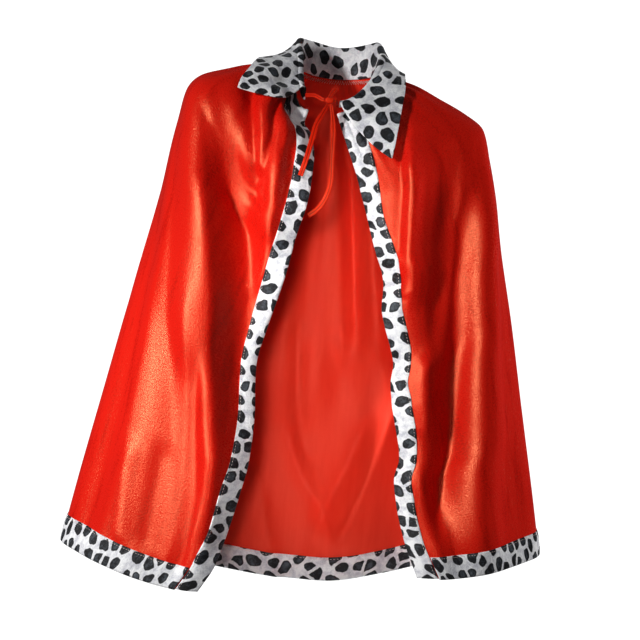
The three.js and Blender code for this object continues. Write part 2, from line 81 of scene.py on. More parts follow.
# Where each front edge lies, and how far its band rolls inwards, in degrees
edgeColumns = ("down", "x", "turn")
leftEdge = [
    (0.000, -33, 20), (0.025, -39, 36), (0.060, -23, 40), (0.110, -15, 28), (0.160, -16, 20),
    (0.210, -20, 12), (0.270, -31, 26), (0.335, -38, 8), (0.400, -49, 18), (0.455, -60, 32),
    (0.540, -72, 43), (0.650, -68, 38), (0.730, -70, 36), (0.800, -78, 28), (0.880, -91, 38),
    (0.945, -102, 14), (1.000, -122, 10),
]
rightEdge = [
    (0.000, 14.5, 20), (0.065, 29, 20), (0.140, 48, 26), (0.225, 66, 43), (0.305, 81, 28),
    (0.345, 92, 43), (0.375, 95, 43), (0.420, 93, 22), (0.460, 98, 12), (0.500, 107, 20),
    (0.545, 116, 43), (0.580, 114, 43), (0.625, 116, 28), (0.670, 122, 26), (0.750, 133, 43),
    (0.790, 128, 43), (0.840, 132, 36), (0.920, 146, 34), (1.000, 166, 20),
]

# Folds of the drape: the places (down, round) of each one's top, middle and foot, its half width round the
# body, and how far it stands out
folds = [
    (0.12, 0.84, 0.40, 0.48, 1.10, 0.04, 0.22, 12),
    (0.12, 0.66, 0.27, 0.33, 0.62, 0.10, 0.19, -13),
    (0.02, 0.58, 0.09, 0.46, 0.24, 0.32, 0.14, 6),
    (0.02, 0.36, 0.20, 0.20, 0.46, 0.12, 0.15, 6),
    (0.50, 0.56, 0.74, 0.36, 1.12, 0.22, 0.17, -3),
    (0.26, 0.92, 0.55, 0.84, 1.10, 0.76, 0.18, -6),
    (0.10, 3.58, 0.20, 3.74, 0.40, 3.86, 0.14, 9),
    (0.12, 3.36, 0.40, 3.56, 0.96, 3.79, 0.17, -12),
    (0.14, 3.20, 0.50, 3.39, 1.12, 3.64, 0.18, 12),
    (0.30, 3.12, 0.60, 3.20, 1.12, 3.34, 0.16, -4),
    (0.04, 1.97, 0.30, 1.97, 0.72, 2.00, 0.15, -9),
    (0.03, 2.14, 0.25, 2.12, 0.70, 2.14, 0.14, 10),
    (0.05, 2.28, 0.30, 2.26, 0.66, 2.30, 0.14, -8),
    (0.03, 1.80, 0.20, 1.81, 0.58, 1.84, 0.14, 9),
    (0.56, 2.40, 0.80, 2.25, 1.12, 2.08, 0.18, -9),
    (0.60, 1.80, 0.84, 1.92, 1.12, 2.04, 0.16, 6),
    (0.04, 1.62, 0.45, 1.58, 1.12, 1.60, 0.18, -12),
    (0.06, 1.43, 0.50, 1.40, 1.12, 1.38, 0.17, 12),
    (0.14, 1.22, 0.55, 1.20, 1.12, 1.18, 0.16, -8),
    (0.04, 2.44, 0.40, 2.46, 1.12, 2.50, 0.17, 12),
    (0.06, 2.62, 0.50, 2.66, 1.12, 2.70, 0.17, -12),
    (0.16, 2.80, 0.55, 2.84, 1.12, 2.86, 0.15, 7),
]

# Creases drawn on top of the folds: how far each stands out, its reach to the left and to the right as seen
# from outside the cloth, how blunt its crest is, all in mm, and the places (down, round) it runs through
creases = [
    # left front: the long ridge from the shoulder corner, and the valley beside it
    (11, 27, 15, 2, [
        (0.16, 0.84), (0.202, 0.745), (0.243, 0.64), (0.281, 0.563), (0.324, 0.508), (0.366, 0.45),
        (0.407, 0.395), (0.462, 0.325), (0.541, 0.25), (0.632, 0.215), (0.723, 0.165), (0.818, 0.117),
        (0.90, 0.08), (1.05, 0.04),
    ]),
    (-16, 26, 38, 2, [
        (0.16, 0.80), (0.189, 0.71), (0.216, 0.577), (0.246, 0.507), (0.276, 0.423), (0.302, 0.30),
        (0.348, 0.223), (0.412, 0.137), (0.498, 0.085), (0.602, 0.075), (0.75, 0.07),
    ]),
    # left front: gathers that run from the neck
    (-15, 16, 9, 2, [
        (0.05, 0.66), (0.099, 0.577), (0.119, 0.49), (0.158, 0.385), (0.198, 0.32), (0.26, 0.25),
    ]),
    (9, 9, 8, 2, [
        (0.03, 0.52), (0.08, 0.47), (0.099, 0.433), (0.139, 0.347), (0.182, 0.307), (0.205, 0.30),
    ]),
    (-10, 9, 6, 2, [(0.03, 0.44), (0.075, 0.407), (0.13, 0.317), (0.189, 0.287), (0.22, 0.28)]),
    (7, 9, 7, 2, [
        (0.02, 0.29), (0.05, 0.265), (0.11, 0.247), (0.166, 0.207), (0.219, 0.18), (0.271, 0.145),
        (0.332, 0.13), (0.42, 0.145),
    ]),
    (-5, 8, 8, 2, [(0.02, 0.22), (0.103, 0.215), (0.15, 0.153), (0.23, 0.12)]),
    # left front: low down
    (4, 40, 11, 2, [
        (0.40, 0.50), (0.52, 0.42), (0.625, 0.365), (0.739, 0.32), (0.829, 0.27), (0.92, 0.24),
        (1.05, 0.23),
    ]),
    (-8, 20, 10, 3, [
        (0.52, 0.32), (0.625, 0.31), (0.687, 0.285), (0.739, 0.25), (0.829, 0.193), (0.92, 0.17),
        (1.05, 0.16),
    ]),
    (-3, 14, 14, 3, [(0.74, 0.43), (0.802, 0.413), (0.857, 0.397), (0.96, 0.36)]),
    (3.5, 14, 12, 3, [(0.76, 0.59), (0.831, 0.577), (0.882, 0.543), (0.97, 0.48)]),
    (-5, 24, 24, 6, [(0.36, 0.80), (0.551, 0.773), (0.636, 0.74), (0.816, 0.72), (1.05, 0.72)]),
    # right front: the sharp fold beside the band, then the long valleys that lean towards the band
    (-8, 8, 6, 1.5, [
        (0.09, 3.55), (0.115, 3.6), (0.156, 3.71), (0.205, 3.777), (0.262, 3.827), (0.34, 3.88),
    ]),
    (9, 8, 18, 2, [
        (0.09, 3.50), (0.125, 3.563), (0.17, 3.667), (0.216, 3.723), (0.271, 3.77), (0.327, 3.83),
        (0.45, 3.845),
    ]),
    (-6, 20, 14, 4, [
        (0.10, 3.42), (0.165, 3.467), (0.243, 3.553), (0.294, 3.593), (0.346, 3.647), (0.428, 3.68),
        (0.56, 3.80),
    ]),
    (5, 16, 8, 2, [
        (0.17, 3.32), (0.225, 3.367), (0.271, 3.41), (0.318, 3.473), (0.37, 3.52), (0.446, 3.57),
        (0.53, 3.67), (0.627, 3.773), (0.70, 3.83),
    ]),
    (-14, 22, 14, 3, [
        (0.17, 3.20), (0.22, 3.27), (0.287, 3.337), (0.336, 3.393), (0.391, 3.43), (0.464, 3.473),
        (0.553, 3.54), (0.649, 3.60), (0.74, 3.687), (0.84, 3.753), (0.96, 3.84),
    ]),
    (8, 18, 44, 5, [
        (0.17, 3.10), (0.233, 3.19), (0.296, 3.27), (0.348, 3.32), (0.405, 3.36), (0.477, 3.403),
        (0.566, 3.453), (0.66, 3.48), (0.754, 3.51), (0.85, 3.545), (0.94, 3.59), (1.05, 3.62),
    ]),
    (5, 8, 8, 2, [(0.30, 3.90), (0.335, 3.88), (0.37, 3.885), (0.41, 3.88)]),
    (5, 10, 14, 3, [(0.52, 3.84), (0.592, 3.817), (0.655, 3.82), (0.71, 3.84)]),
    (5, 10, 12, 3, [(0.75, 3.86), (0.793, 3.847), (0.898, 3.853), (1.0, 3.86)]),
    (4, 10, 8, 2, [(0.64, 3.71), (0.695, 3.727), (0.735, 3.74), (0.80, 3.76)]),
    # back, as it shows from inside: below zero is towards the camera
    (6, 16, 16, 4, [(0.12, 1.94), (0.20, 1.95), (0.43, 1.97), (0.64, 1.98)]),
    (-13, 14, 16, 3, [(0.05, 2.05), (0.10, 2.05), (0.263, 2.07), (0.429, 2.10), (0.60, 2.13)]),
    (11, 12, 9, 2, [(0.08, 2.11), (0.15, 2.11), (0.227, 2.13), (0.388, 2.165), (0.56, 2.20)]),
    (-10, 13, 14, 3, [(0.10, 2.18), (0.227, 2.22), (0.388, 2.26), (0.58, 2.30)]),
    (7, 14, 14, 3, [(0.20, 2.30), (0.388, 2.34), (0.60, 2.37)]),
    (-11, 16, 11, 2, [(0.62, 2.43), (0.689, 2.35), (0.802, 2.257), (0.879, 2.19), (0.95, 2.12)]),
    (9, 14, 13, 3, [(0.66, 2.26), (0.76, 2.18), (0.85, 2.10), (0.92, 2.05)]),
    (-8, 12, 11, 2, [(0.46, 1.88), (0.517, 1.90), (0.697, 1.953), (0.757, 2.00), (0.79, 2.02)]),
    (9, 16, 14, 3, [(0.66, 1.88), (0.779, 1.97), (0.858, 2.067), (0.96, 2.15)]),
    (-5, 9, 9, 2, [(0.78, 1.79), (0.852, 1.827), (0.96, 1.89), (1.05, 1.93)]),
    (6, 14, 14, 3, [(0.58, 1.74), (0.696, 1.767), (0.772, 1.807), (0.87, 1.805)]),
]

clothSetup = {
    "velvet": 1.2,  # thickness
    "bandCloth": 1.0,
    "collarCloth": 2.2,
    "edgeBand": 26,  # width of the front bands, flat
    "hemShare": 0.045,  # share of the length that the hem band takes
    "bandStart": 0.004,
    "collarSeat": 1.6,
    "rollRadius": 3.5,
    "fallLift": 10,
}
# How folds, creases and the front edges' roll are drawn: lengths in mm, the others are shares
drapeSetup = {
    "foldFade": 60, "foldAtEdge": 0.3, "foldEnds": 0.22,
    "creaseFade": 34, "creaseAtEdge": 0.45, "creaseStart": 0.2, "creaseEnd": 0.16, "creaseFall": 1.3,
    "rollReach": 2.2, "rollShare": 0.7, "uneven": 0.8,
    "heldAbove": 0.16, "heldOver": 0.04, "heldTo": 5, "heldShare": 0.85,
}
gathers = {"count": 34, "height": 1.6, "start": 0.03, "end": 0.17}


def alongTable(xs, ys):  # a smooth curve through a table's rows that never overshoots them
    xs, ys = np.asarray(xs, float), np.asarray(ys, float)
    step = np.diff(xs)
    slope = np.diff(ys) / step
    tangent = np.zeros(len(xs))
    tangent[0], tangent[-1] = slope[0], slope[-1]
    for i in range(1, len(xs) - 1):
        if slope[i - 1] * slope[i] > 0:
            before, after = 2 * step[i] + step[i - 1], step[i] + 2 * step[i - 1]
            tangent[i] = (before + after) / (before / slope[i - 1] + after / slope[i])

    def at(x):
        x = np.asarray(x, float)
        i = np.clip(np.searchsorted(xs, x) - 1, 0, len(xs) - 2)
        t = (x - xs[i]) / step[i]
        return (
            ys[i] * (1 + 2 * t) * (1 - t) ** 2
            + tangent[i] * step[i] * t * (1 - t) ** 2
            + ys[i + 1] * t * t * (3 - 2 * t)
            + tangent[i + 1] * step[i] * t * t * (t - 1)
        )

    return at


def tableCurves(rows, columns):
    values = np.array(rows, float).T
    return {name: alongTable(values[0], column) for name, column in zip(columns[1:], values[1:])}


sectionCurve = tableCurves(sections, sectionColumns)
leftEdgeCurve = tableCurves(leftEdge, edgeColumns)
rightEdgeCurve = tableCurves(rightEdge, edgeColumns)


def signedPower(value, power):
    return np.sign(value) * np.abs(value) ** power


def outlineArc(size, start, end, shares):  # points at given shares of an arc of one section's outline
    angles = np.linspace(start, end, 161)
    middle, half = (size["left"] + size["right"]) / 2, (size["right"] - size["left"]) / 2
    power = 2 / size["square"]
    depth = np.where(np.cos(angles) > 0, -size["front"], size["back"])
    xs = middle + half * signedPower(np.sin(angles), power)
    ys = depth * np.abs(np.cos(angles)) ** power
    lengths = np.concatenate([[0], np.cumsum(np.hypot(np.diff(xs), np.diff(ys)))])
    angle = np.interp(np.asarray(shares) * lengths[-1], lengths, angles)
    depth = np.where(np.cos(angle) > 0, -size["front"], size["back"])
    x = middle + half * signedPower(np.sin(angle), power)
    return x, depth * np.abs(np.cos(angle)) ** power, lengths[-1]


# The whole surface is worked out once on a fine grid, and every piece reads its points from there
downGrid = np.linspace(0, 1, 1001)
roundGrid = np.linspace(0, 4, 1201)
leftPart, rightPart = roundGrid <= 1, roundGrid > 3
backPart = ~leftPart & ~rightPart
smoothCloth = np.zeros((len(downGrid), len(roundGrid), 3))
leftLength, rightLength, backLength = (np.zeros(len(downGrid)) for _ in range(3))
for row, down in enumerate(downGrid):
    size = {name: float(curve(down)) for name, curve in sectionCurve.items()}
    middle, half = (size["left"] + size["right"]) / 2, (size["right"] - size["left"]) / 2
    atLeft = math.asin(signedPower((leftEdgeCurve["x"](down) - middle) / half, size["square"] / 2))
    atRight = math.asin(signedPower((rightEdgeCurve["x"](down) - middle) / half, size["square"] / 2))
    share = roundGrid[leftPart]
    x, y, leftLength[row] = outlineArc(size, atLeft, -math.pi / 2, share)
    z = size["zLeft"] + (size["zEdgeLeft"] - size["zLeft"]) * np.cos(math.pi / 2 * share) ** 2
    smoothCloth[row, leftPart] = np.stack([x, y, z], -1)
    share = (roundGrid[backPart] - 1) / 2
    x, y, backLength[row] = outlineArc(size, -math.pi / 2, -3 * math.pi / 2, share)
    side = np.where(share < 0.5, size["zLeft"], size["zRight"])
    z = side + (size["zBack"] - side) * np.sin(math.pi * share) ** 2
    smoothCloth[row, backPart] = np.stack([x, y, z], -1)
    share = roundGrid[rightPart] - 3
    x, y, rightLength[row] = outlineArc(size, math.pi / 2, atRight, share)
    z = size["zRight"] + (size["zEdgeRight"] - size["zRight"]) * np.sin(math.pi / 2 * share) ** 2
    smoothCloth[row, rightPart] = np.stack([x, y, z], -1)


def unit(vectors):
    return vectors / np.linalg.norm(vectors, axis=-1, keepdims=True)


def outwards(surface):
    across = np.gradient(surface, roundGrid, axis=1)
    along = np.gradient(surface, downGrid, axis=0)
    return unit(np.cross(across, along))


def foldHeight(fold, rounds, downs):
    top, roundTop, mid, roundMid, foot, roundFoot, wide, depth = fold
    t = (downs - top) / (foot - top)
    m = (mid - top) / (foot - top)
    place = (
        roundTop * (t - m) * (t - 1) / m
        + roundMid * t * (t - 1) / (m * (m - 1))
        + roundFoot * t * (t - m) / (1 - m)
    )
    away = np.clip(np.abs(rounds - place) / wide, 0, 1)
    fade = np.clip(np.minimum(t, 1 - t) / drapeSetup["foldEnds"], 0, 1)
    return depth * (1 - away**2) ** 2 * fade * fade * (3 - 2 * fade)


roundsHere, downsHere = np.meshgrid(roundGrid, downGrid)
fromEdge = np.full(roundsHere.shape, 1000.0)
fromEdge[:, leftPart] = roundsHere[:, leftPart] * leftLength[:, None]
fromEdge[:, rightPart] = (4 - roundsHere[:, rightPart]) * rightLength[:, None]
t = np.clip(fromEdge / drapeSetup["foldFade"], 0, 1)
foldHold = drapeSetup["foldAtEdge"] + (1 - drapeSetup["foldAtEdge"]) * t * t * (3 - 2 * t)
height = sum(foldHeight(fold, roundsHere, downsHere) for fold in folds) * foldHold
perRound = np.interp(roundGrid, [0, 0.98, 1.02, 2.98, 3.02, 4], [0, 0, 1, 1, 2, 2])[None, :]
perRound = np.choose(
    np.round(perRound).astype(int), [leftLength[:, None], backLength[:, None] / 2, rightLength[:, None]]
)  # mm of cloth to one step of "round"


def creaseHeight(crease):
    depth, leftReach, rightReach, crest, path = crease
    downs, rounds = np.array(path).T
    place = alongTable(downs, rounds)(downGrid)[:, None]
    away = (roundsHere - place) * perRound  # greater "round" lies to the left, seen from outside
    reach = np.where(away > 0, leftReach, rightReach)
    share = (downsHere - downs[0]) / (downs[-1] - downs[0])
    ends = np.minimum(share / drapeSetup["creaseStart"], (1 - share) / drapeSetup["creaseEnd"])
    fade = np.clip(ends, 0, 1)
    rounded = np.sqrt(away**2 + crest**2) - crest
    return depth * np.exp(-((rounded / reach) ** drapeSetup["creaseFall"])) * fade * fade * (3 - 2 * fade)


t = np.clip(fromEdge / drapeSetup["creaseFade"], 0, 1)
creaseHold = drapeSetup["creaseAtEdge"] + (1 - drapeSetup["creaseAtEdge"]) * t
height += sum(creaseHeight(crease) for crease in creases) * creaseHold


def edgeRoll(curve, reach, downs):
    turn = np.radians(curve["turn"](downs))
    seen = clothSetup["edgeBand"] * np.cos(turn)
    left = np.clip(1 - reach / (drapeSetup["rollReach"] * seen), 0, 1)
    return -np.tan(turn) * seen / drapeSetup["rollShare"] * left**2


for part, curve in ((leftPart, leftEdgeCurve), (rightPart, rightEdgeCurve)):
    height[:, part] += edgeRoll(curve, fromEdge[:, part], downsHere[:, part])

# Small gathers where the cloth is eased into the neck seam, and the slow unevenness of hanging cloth
swell = np.clip(downsHere / gathers["start"], 0, 1) * np.clip(1 - downsHere / gathers["end"], 0, 1)
uneven = roundsHere + 0.05 * np.sin(5 * roundsHere) + 0.03 * np.sin(11.3 * roundsHere + 1)
height += gathers["height"] * swell * np.sin(math.pi * gathers["count"] * uneven / 2)
slow = np.sin(9 * roundsHere + 5 * downsHere) * np.sin(14 * downsHere + 3 * roundsHere)
height += drapeSetup["uneven"] * slow * foldHold
# the collar lies over the top and holds it down
held = np.clip((drapeSetup["heldAbove"] - downsHere) / drapeSetup["heldOver"], 0, 1)
height -= held * np.maximum(height - drapeSetup["heldTo"], 0) * drapeSetup["heldShare"]
smoothNormal = outwards(smoothCloth)
cloth = smoothCloth + smoothNormal * height[..., None]
clothNormal = outwards(cloth)
print("cloth surface worked out")


def readGrid(table, rounds, downs):
    i = np.clip(np.asarray(rounds) / 4 * (len(roundGrid) - 1), 0, len(roundGrid) - 1.0001)
    j = np.clip(np.asarray(downs) * (len(downGrid) - 1), 0, len(downGrid) - 1.0001)
    i0, j0 = i.astype(int), j.astype(int)
    fi, fj = (i - i0)[..., None], (j - j0)[..., None]
    return (table[j0, i0] * (1 - fi) + table[j0, i0 + 1] * fi) * (1 - fj) + (
        table[j0 + 1, i0] * (1 - fi) + table[j0 + 1, i0 + 1] * fi
    ) * fj


def squareTo(direction, vectors):  # the vectors, less their run along a direction
    return vectors - direction * (vectors * direction).sum(-1, keepdims=True)


def onSurface(rounds, downs):  # points of the cloth, and which way it faces there
    return readGrid(cloth, rounds, downs), unit(readGrid(clothNormal, rounds, downs))


def gridPiece(name, columns, rows, shape, materials, closed=False):
    # a grid whose vertices are moved by formula: shape(s, t) gives points in mm and a map in mm
    mesh = bpy.data.meshes.new(name)
    bm = bmesh.new()
    bmesh.ops.create_grid(bm, x_segments=columns, y_segments=rows, size=1)
    bm.verts.ensure_lookup_table()
    flat = np.array([vertex.co for vertex in bm.verts])
    points, clothMap = shape((flat[:, 0] + 1) / 2, (flat[:, 1] + 1) / 2)
    for vertex, point in zip(bm.verts, points * mm):
        vertex.co = point
    layer = bm.loops.layers.uv.new("clothMap")
    for face in bm.faces:
        face.smooth = True
        for loop in face.loops:
            loop[layer].uv = clothMap[loop.vert.index] * mm
    if closed:
        bmesh.ops.remove_doubles(bm, verts=bm.verts, dist=0.00001)
        ends = [edge for edge in bm.edges if edge.is_boundary]
        bmesh.ops.holes_fill(bm, edges=ends, sides=0)
        bmesh.ops.recalc_face_normals(bm, faces=bm.faces)
    bm.to_mesh(mesh)
    bm.free()
    for material in materials:
        mesh.materials.append(material)
    piece = bpy.data.objects.new(name, mesh)
    bpy.context.scene.collection.objects.link(piece)
    return piece


def thicken(piece, thickness, wrongSide=0):
    solid = piece.modifiers.new("thickness", "SOLIDIFY")
    solid.thickness = thickness * mm
    solid.offset = 0
    solid.use_even_offset = False
    solid.material_offset = wrongSide


# Materials
def colour(hexValue):
    channels = [int(hexValue[i : i + 2], 16) / 255 for i in (1, 3, 5)]
    return [c / 12.92 if c <= 0.04045 else ((c + 0.055) / 1.055) ** 2.4 for c in channels] + [1.0]


def setInputs(tree, node, inputs):  # an input takes another node's output, or a plain value
    for socket, value in inputs.items():
        if isinstance(value, bpy.types.NodeSocket):
            tree.links.new(value, node.inputs[socket])
        else:
            node.inputs[socket].default_value = value


def addNode(tree, kind, inputs=None, **settings):
    node = tree.nodes.new(kind)
    for name, value in settings.items():
        setattr(node, name, value)
    setInputs(tree, node, inputs or {})
    return node


def newMaterial(name):
    material = bpy.data.materials.new(name)
    material.use_nodes = True
    tree = material.node_tree
    tree.nodes.clear()
    output = addNode(tree, "ShaderNodeOutputMaterial")
    shader = addNode(tree, "ShaderNodeBsdfPrincipled")
    tree.links.new(shader.outputs[0], output.inputs["Surface"])
    return material, tree, shader


def onCloth(tree):  # a place on the cloth, in metres along its own map
    return addNode(tree, "ShaderNodeUVMap", uv_map="clothMap").outputs["UV"]


def stretched(tree, place, scale):
    return addNode(tree, "ShaderNodeMapping", {"Vector": place, "Scale": scale}).outputs[0]


def noise(tree, place, scale, detail, roughness=0.5, output="Fac"):
    inputs = {"Vector": place, "Scale": scale, "Detail": detail, "Roughness": roughness}
    return addNode(tree, "ShaderNodeTexNoise", inputs).outputs[output]


def stripes(tree, place, direction, every, distortion, detail=2.0):  # lines that lie so many mm apart
    inputs = {"Vector": place, "Scale": 1000 / every / 3.14, "Distortion": distortion, "Detail": detail}
    wave = addNode(tree, "ShaderNodeTexWave", inputs, wave_type="BANDS", bands_direction=direction)
    return wave.outputs["Fac"]


def worked(tree, operation, *values):
    return addNode(tree, "ShaderNodeMath", dict(enumerate(values)), operation=operation).outputs[0]


def vectorWorked(tree, operation, *values):
    return addNode(tree, "ShaderNodeVectorMath", dict(enumerate(values)), operation=operation).outputs[0]


def rescaled(tree, value, start, end, low, high):
    inputs = {"Value": value, "From Min": start, "From Max": end, "To Min": low, "To Max": high}
    return addNode(tree, "ShaderNodeMapRange", inputs).outputs[0]


def mixed(tree, share, first, second):
    inputs = {"Factor": share, "A": first, "B": second}
    return addNode(tree, "ShaderNodeMix", inputs, data_type="RGBA").outputs["Result"]


def ramp(tree, source, *stops):
    node = addNode(tree, "ShaderNodeValToRGB", {"Fac": source})
    elements = node.color_ramp.elements
    while len(elements) < len(stops):
        elements.new(0.5)
    for element, (place, hexValue) in zip(elements, stops):
        element.position = place
        element.color = colour(hexValue)
    return node.outputs["Color"]


def bumped(tree, height, strength, distance, **under):
    inputs = {"Height": height, "Strength": strength, "Distance": distance, **under}
    return addNode(tree, "ShaderNodeBump", inputs).outputs[0]


# Stretch velvet: a knitted polyester ground with a short cut pile. The pile lies down the cloth, so that it
# shines in soft grainy streaks along the folds
velvetSetup = {
    "colour": "#cb150b", "light": "#dc2216", "dark": "#c1130a", "shine": "#ffb080", "sheenColour": "#ff5a40",
    "sheen": 0.05, "roughness": 0.3, "uneven": 0.08, "shineLevel": 1.0, "pileGrain": 2.4,
}
velvet, tree, shader = newMaterial("stretchVelvet")
place = onCloth(tree)
# the pile is brushed down the cloth in streaks about 12 mm wide
streaks = noise(tree, stretched(tree, place, (80, 9, 1)), 1.0, 4.0, 0.55)
# pile tufts are about 0.3 mm; drawn at 2.4 mm so that they show
tufts = noise(tree, place, 1000 / velvetSetup["pileGrain"], 3.0, 0.75)
tone = worked(tree, "MULTIPLY_ADD", tufts, 1.2, streaks)
shades = (0.85, velvetSetup["dark"]), (1.1, velvetSetup["colour"]), (1.35, velvetSetup["light"])
dullest = velvetSetup["roughness"] + velvetSetup["uneven"]
shiniest = velvetSetup["roughness"] - velvetSetup["uneven"]
setInputs(tree, shader, {
    "Base Color": ramp(tree, tone, *shades),
    "Roughness": rescaled(tree, tone, 0.8, 1.4, dullest, shiniest),
    "Specular IOR Level": velvetSetup["shineLevel"],
    "Specular Tint": colour(velvetSetup["shine"]),
    "Sheen Weight": velvetSetup["sheen"],
    "Sheen Roughness": 0.4,
    "Sheen Tint": colour(velvetSetup["sheenColour"]),
    "Normal": bumped(tree, tufts, 0.5, 0.0011),
})

# The velvet's wrong side: the plain knitted ground, matt and lighter, with fine ribs down it
groundSetup = {
    "colour": "#ea3a26", "light": "#f44a34", "shine": "#ffc4b0", "sheenColour": "#ff8a70",
    "sheen": 0.18, "roughness": 0.58, "rib": 1.6,
}
velvetGround, tree, shader = newMaterial("velvetKnitGround")
place = onCloth(tree)
streaks = noise(tree, stretched(tree, place, (60, 8, 1)), 1.0, 4.0, 0.6)
# knit ribs are about 0.8 mm; drawn at 1.6 mm
ribs = stripes(tree, place, "X", groundSetup["rib"], 0.6, 1.0)
setInputs(tree, shader, {
    "Base Color": ramp(tree, streaks, (0.25, groundSetup["colour"]), (0.8, groundSetup["light"])),
    "Roughness": groundSetup["roughness"],
    "Specular Tint": colour(groundSetup["shine"]),
    "Sheen Weight": groundSetup["sheen"],
    "Sheen Tint": colour(groundSetup["sheenColour"]),
    "Normal": bumped(tree, ribs, 0.25, 0.0003),
})

# Short pile plush, knitted white polyester printed with near-black pebble spots, about 12 to 20 mm long. The
# pile's
# sheen is painted into the colour: in patches, the black is painted grey in the middle, while each rim stays
# dark
plushSetup = {
    "white": "#fafafb", "shadow": "#c8c8d0", "spot": "#141419", "spotPaintedSheen": "#5c636b",
    "cell": 22.5, "scatter": 0.72, "largest": 0.49, "smallest": 0.33, "oval": (0.86, 1.22, 1),
    "gap": 0.08, "wobble": (0.22, 0.22, 0), "rounding": 0.11, "pile": 2.4, "sheen": 0.2,
}
plush, tree, shader = newMaterial("spottedPlush")
place = onCloth(tree)
# one spot to a cell; from here on, sizes are shares of a cell
scaled = stretched(tree, place, (1000 / plushSetup["cell"],) * 3)
wobble = noise(tree, scaled, 2.2, 1.0, output="Color")
wobbled = vectorWorked(tree, "MULTIPLY_ADD", wobble, plushSetup["wobble"], scaled)
spread = {"Vector": wobbled, "Scale": 1.0, "Randomness": plushSetup["scatter"]}
cells = addNode(tree, "ShaderNodeTexVoronoi", spread, voronoi_dimensions="2D")
borders = addNode(
    tree, "ShaderNodeTexVoronoi", spread, voronoi_dimensions="2D", feature="DISTANCE_TO_EDGE"
).outputs["Distance"]
chance = addNode(tree, "ShaderNodeSeparateColor", {"Color": cells.outputs["Color"]}).outputs
# each spot is an oval of its own size, turned its own way
turned = addNode(tree, "ShaderNodeVectorRotate", {
    "Vector": vectorWorked(tree, "SUBTRACT", wobbled, cells.outputs["Position"]),
    "Angle": worked(tree, "MULTIPLY", chance["Red"], math.pi),
}, rotation_type="Z_AXIS").outputs[0]
oval = vectorWorked(tree, "MULTIPLY", turned, plushSetup["oval"])
reach = addNode(tree, "ShaderNodeVectorMath", {0: oval}, operation="LENGTH").outputs["Value"]
skewed = worked(tree, "POWER", chance["Green"], 0.55)
sizes = rescaled(tree, skewed, 0, 1, plushSetup["smallest"], plushSetup["largest"])
inside = worked(tree, "SUBTRACT", sizes, reach)
clear = worked(tree, "SUBTRACT", borders, plushSetup["gap"])
depthIn = worked(tree, "SMOOTH_MIN", inside, clear, plushSetup["rounding"])
# the print's edge is blurred by the pile over about 1 mm
spotMask = ramp(tree, depthIn, (0.0, "#000000"), (0.04, "#ffffff"))
# plush pile is about 0.5 mm; drawn at 2.4 mm so that it shows
pile = noise(tree, place, 1000 / plushSetup["pile"], 2.0, 0.7)
laid = noise(tree, place, 48.0, 5.0, 0.75)
whites = ramp(tree, laid, (0.36, plushSetup["shadow"]), (0.56, plushSetup["white"]))
rimmed = ramp(tree, depthIn, (0.05, "#000000"), (0.16, "#ffffff"))
# painted sheen: where these patches lie, the black spots are painted grey in the middle
sheenPatches = ramp(tree, laid, (0.47, "#000000"), (0.66, "#ffffff"))
paintedSheen = worked(tree, "MULTIPLY", rimmed, sheenPatches)
blacks = mixed(tree, paintedSheen, colour(plushSetup["spot"]), colour(plushSetup["spotPaintedSheen"]))
setInputs(tree, shader, {
    "Base Color": mixed(tree, spotMask, whites, blacks),
    "Roughness": 0.5,
    "Sheen Weight": plushSetup["sheen"],
    "Sheen Roughness": 0.4,
    "Normal": bumped(tree, pile, 0.8, 0.0016, Normal=bumped(tree, laid, 0.5, 0.004)),
})

# Woven satin ribbon, folded once along its length and stitched down the middle
# groove is the colour of a painted shade down the stitched middle
ribbonSetup = {
    "colour": "#cc1f08", "light": "#e2340f", "groove": "#9c1206", "shine": "#ffb08a",
    "sheen": 0.05, "roughness": 0.42, "float": 0.8, "grooveShadeReach": (0.0003, 0.0009),
}
ribbonSatin, tree, shader = newMaterial("satinRibbon")
place = onCloth(tree)
# satin floats are about 0.3 mm; drawn at 0.8 mm across the ribbon
weave = stripes(tree, place, "Y", ribbonSetup["float"], 0.4)
reds = ramp(tree, weave, (0.2, ribbonSetup["colour"]), (0.9, ribbonSetup["light"]))
across = addNode(tree, "ShaderNodeSeparateXYZ", {"Vector": place}).outputs["X"]
fromStitch = worked(tree, "ABSOLUTE", across)
# painted shade: the colour is darker down the stitched middle, in the groove where the two folds meet
grooveShade = rescaled(tree, fromStitch, *ribbonSetup["grooveShadeReach"], 0, 1)
setInputs(tree, shader, {
    "Base Color": mixed(tree, grooveShade, colour(ribbonSetup["groove"]), reds),
    "Roughness": ribbonSetup["roughness"],
    "Specular Tint": colour(ribbonSetup["shine"]),
    "Sheen Weight": ribbonSetup["sheen"],
    "Normal": bumped(tree, weave, 0.2, 0.0002),
})

# Spun polyester thread of the stitching and the overlocked edges, in strands that differ a little
overlockThread, tree, shader = newMaterial("polyesterThread")
strands = noise(tree, onCloth(tree), 900.0, 1.0)
setInputs(tree, shader, {
    "Base Color": ramp(tree, strands, (0.3, "#d9beb6"), (0.6, "#f4e2dc")),
    "Roughness": 0.6,
})
print("materials made")


